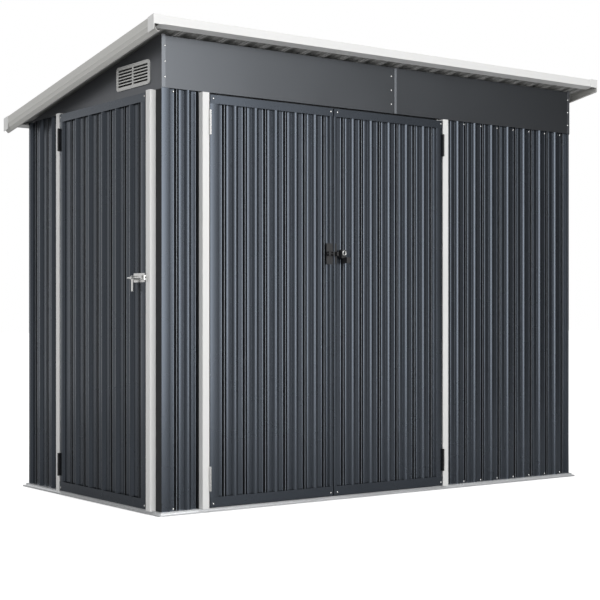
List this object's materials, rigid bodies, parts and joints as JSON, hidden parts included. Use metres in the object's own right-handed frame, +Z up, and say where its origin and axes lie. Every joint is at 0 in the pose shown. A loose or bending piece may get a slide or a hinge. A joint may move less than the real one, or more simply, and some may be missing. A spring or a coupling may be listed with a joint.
{
  "type": "lean-to metal storage shed",
  "caption": "Lean-to garden shed of dark corrugated steel with double front doors, a side door, light trims and gable vents.",
  "frame": {"origin": "centre of the overall box in plan, on the floor under the base rail", "axes": "+X along the front to the right as seen from outside, +Y to the rear, +Z up"},
  "size_m": [2.572, 1.404, 1.9974],
  "materials": {
    "dark_sheet": "satin anthracite coat on ribbed steel",
    "roof_sheet": "satin anthracite coat on ribbed steel",
    "white_trim": "satin off-white coat on folded steel",
    "vent_plastic": "matt light grey",
    "zinc_frame": "galvanized, satin",
    "bright_steel": "zinc plated, bright",
    "black_steel": "black coat, satin"
  },
  "bodies": {
    "shell": {"base_rail_front": "zinc_frame", "base_rail_left": "zinc_frame", "base_rail_rear": "zinc_frame", "base_rail_right": "zinc_frame", "corner_posts": "zinc_frame", "eave_trim_front_left": "white_trim", "eave_trim_front_right": "white_trim", "eave_trim_rear_left": "white_trim", "eave_trim_rear_right": "white_trim", "fascia_left": "dark_sheet", "fascia_right": "dark_sheet", "front_corner_panel": "dark_sheet", "front_header_rail": "dark_sheet", "front_left_jamb": "white_trim", "front_right_jamb": "white_trim", "front_right_panel": "dark_sheet", "gable_panel_left": "dark_sheet", "gable_panel_right": "dark_sheet", "gable_vent_left": "vent_plastic", "gable_vent_right": "vent_plastic", "left_header_rail": "dark_sheet", "left_leaf_jamb_hinges": "bright_steel", "left_rear_panel": "dark_sheet", "rear_header_rail": "dark_sheet", "rear_left_panel": "dark_sheet", "rear_right_panel": "dark_sheet", "right_front_panel": "dark_sheet", "right_header_rail": "dark_sheet", "right_leaf_jamb_hinges": "black_steel", "right_rear_panel": "dark_sheet", "roof_corner_caps": "white_trim", "roof_purlin": "zinc_frame", "roof_sheet_left": "roof_sheet", "roof_sheet_right": "roof_sheet", "side_front_jamb": "white_trim", "side_keeper": "bright_steel", "side_leaf_jamb_hinges": "black_steel", "side_rear_jamb": "white_trim", "verge_trim_left": "white_trim", "verge_trim_right": "white_trim"},
    "left_leaf": {"left_leaf_sheet": "dark_sheet", "left_leaf_rails": "dark_sheet", "left_leaf_hinges": "bright_steel", "front_latch_plate": "black_steel"},
    "right_leaf": {"right_leaf_sheet": "dark_sheet", "right_leaf_rails": "dark_sheet", "right_leaf_hinges": "black_steel", "front_keeper": "black_steel"},
    "side_leaf": {"side_leaf_sheet": "dark_sheet", "side_leaf_rails": "dark_sheet", "side_leaf_hinges": "black_steel", "side_latch_plate": "bright_steel"},
    "front_bolt": {"front_bolt": "black_steel"},
    "side_bolt": {"side_bolt": "bright_steel"}
  },
  "joints": [
    {"name": "left_leaf_hinge", "type": "hinge", "parent": "shell", "child": "left_leaf", "pos_m": [-0.9775, -0.6335, 0], "axis": [0, 0, -1], "range_deg": [0, 110]},
    {"name": "right_leaf_hinge", "type": "hinge", "parent": "shell", "child": "right_leaf", "pos_m": [0.3075, -0.6335, 0], "axis": [0, 0, 1], "range_deg": [0, 110]},
    {"name": "side_leaf_hinge", "type": "hinge", "parent": "shell", "child": "side_leaf", "pos_m": [-1.2235, 0.2525, 0], "axis": [0, 0, -1], "range_deg": [0, 110]},
    {"name": "front_bolt_slide", "type": "slide", "parent": "left_leaf", "child": "front_bolt", "axis": [1, 0, 0], "range_m": [0, 0.03]},
    {"name": "side_bolt_slide", "type": "slide", "parent": "side_leaf", "child": "side_bolt", "axis": [0, -1, 0], "range_m": [0, 0.03]}
  ]
}
